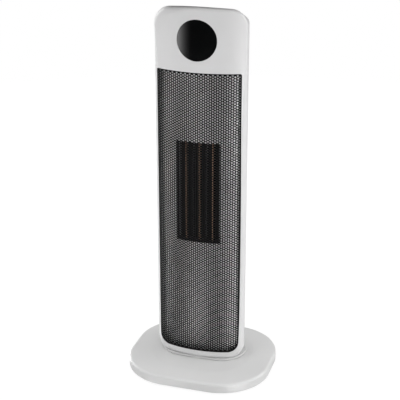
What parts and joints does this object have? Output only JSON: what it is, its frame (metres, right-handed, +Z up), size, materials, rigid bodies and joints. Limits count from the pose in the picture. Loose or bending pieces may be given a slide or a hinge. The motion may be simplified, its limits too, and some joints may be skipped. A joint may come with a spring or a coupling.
{
  "type": "tower fan heater",
  "caption": "White ceramic tower heater with a bowed perforated grille, round black display lens, blower behind the outlet window, and a turntable that swings it on a rounded base.",
  "frame": {"origin": "middle of the base on the floor, on the swing axis", "axes": "+Z up along the tower, the grille faces -Y, +X to the viewer's right"},
  "size_m": [0.229, 0.198, 0.583],
  "materials": {
    "white_plastic": "satin",
    "pale_plastic": "matte",
    "black_plastic": "matte",
    "gloss_black": "polished",
    "dark_mesh": "satin",
    "silver_panel": "satin",
    "aluminium": "brushed",
    "copper_tone": "satin",
    "steel": "bright",
    "rubber": "matte",
    "board_green": "satin",
    "natural_acetal": "satin"
  },
  "bodies": {
    "base": {"base_cover": "white_plastic", "base_floor": "pale_plastic", "rubber_feet": "rubber", "base_screws": "steel", "fixed_gear": "natural_acetal", "glide_ring": "natural_acetal"},
    "tower": {"turntable": "white_plastic", "retainer_ring": "natural_acetal", "foot_screws": "steel", "front_frame": "white_plastic", "rear_housing": "white_plastic", "front_grille": "dark_mesh", "outlet_panel": "silver_panel", "heater_frame": "black_plastic", "ptc_bars": "copper_tone", "fin_separators": "aluminium", "fin_packs": "aluminium", "heater_terminals": "steel", "thermal_cutout": "steel", "blower_casing": "black_plastic", "blower_motor": "steel", "lower_bearing": "natural_acetal", "intake_screen": "black_plastic", "display_lens": "gloss_black", "display_holder": "black_plastic", "display_board": "board_green", "display_module": "black_plastic", "power_board": "board_green", "board_components": "black_plastic", "swing_motor": "steel", "switch_body": "black_plastic", "head_screws": "steel", "tilt_switch": "black_plastic", "cord_gland": "black_plastic"},
    "blower": {"blower_wheel": "black_plastic", "blower_shaft": "steel"},
    "pinion": {"swing_pinion": "natural_acetal"},
    "rocker": {"power_rocker": "gloss_black"}
  },
  "joints": [
    {"name": "swing", "type": "hinge", "parent": "base", "child": "tower", "pos_m": [0, 0, 0.02], "axis": [0, 0, 1], "range_deg": [-35, 35]},
    {"name": "pinion_turn", "type": "hinge", "parent": "tower", "child": "pinion", "pos_m": [0, 0.0224, 0.013], "axis": [0, 0, 1], "range_deg": [-105.5, 105.5]},
    {"name": "blower_spin", "type": "hinge", "parent": "tower", "child": "blower", "pos_m": [0, 0.022, 0.3002], "axis": [0, 0, 1], "continuous": true},
    {"name": "rocker", "type": "hinge", "parent": "tower", "child": "rocker", "pos_m": [0, 0.05, 0.072], "axis": [1, 0, 0], "range_deg": [-16, 0]}
  ],
  "couplings": [
    {"joint": "pinion_turn", "follows": "swing", "ratio": 3}
  ]
}
